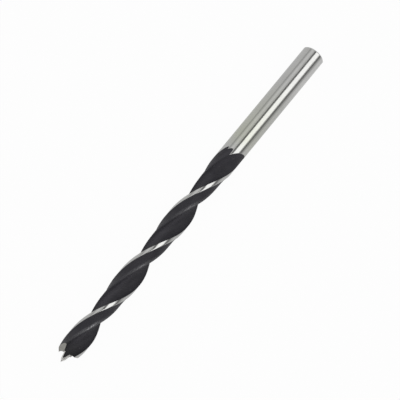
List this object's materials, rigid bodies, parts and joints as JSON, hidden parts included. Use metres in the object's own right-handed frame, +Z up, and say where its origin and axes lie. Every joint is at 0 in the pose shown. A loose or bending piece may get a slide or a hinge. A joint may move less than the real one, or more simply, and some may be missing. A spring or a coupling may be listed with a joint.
{
  "type": "wood drill bit",
  "caption": "Brad-point twist drill bit for wood: blackened right-hand flutes, bright ground margins, point with spurs, plain round shank",
  "frame": {"origin": "On the surface that the bit lies on, under the middle of its overall length", "axes": "X runs along the bit, with the brad point towards -X and the shank end towards +X; +Z is up"},
  "size_m": [0.086, 0.005, 0.005],
  "materials": {
    "bit_steel": "ground bright on shank, margins and point, black oxide in the flutes"
  },
  "bodies": {
    "root": {"drill_bit": "bit_steel"}
  },
  "joints": []
}
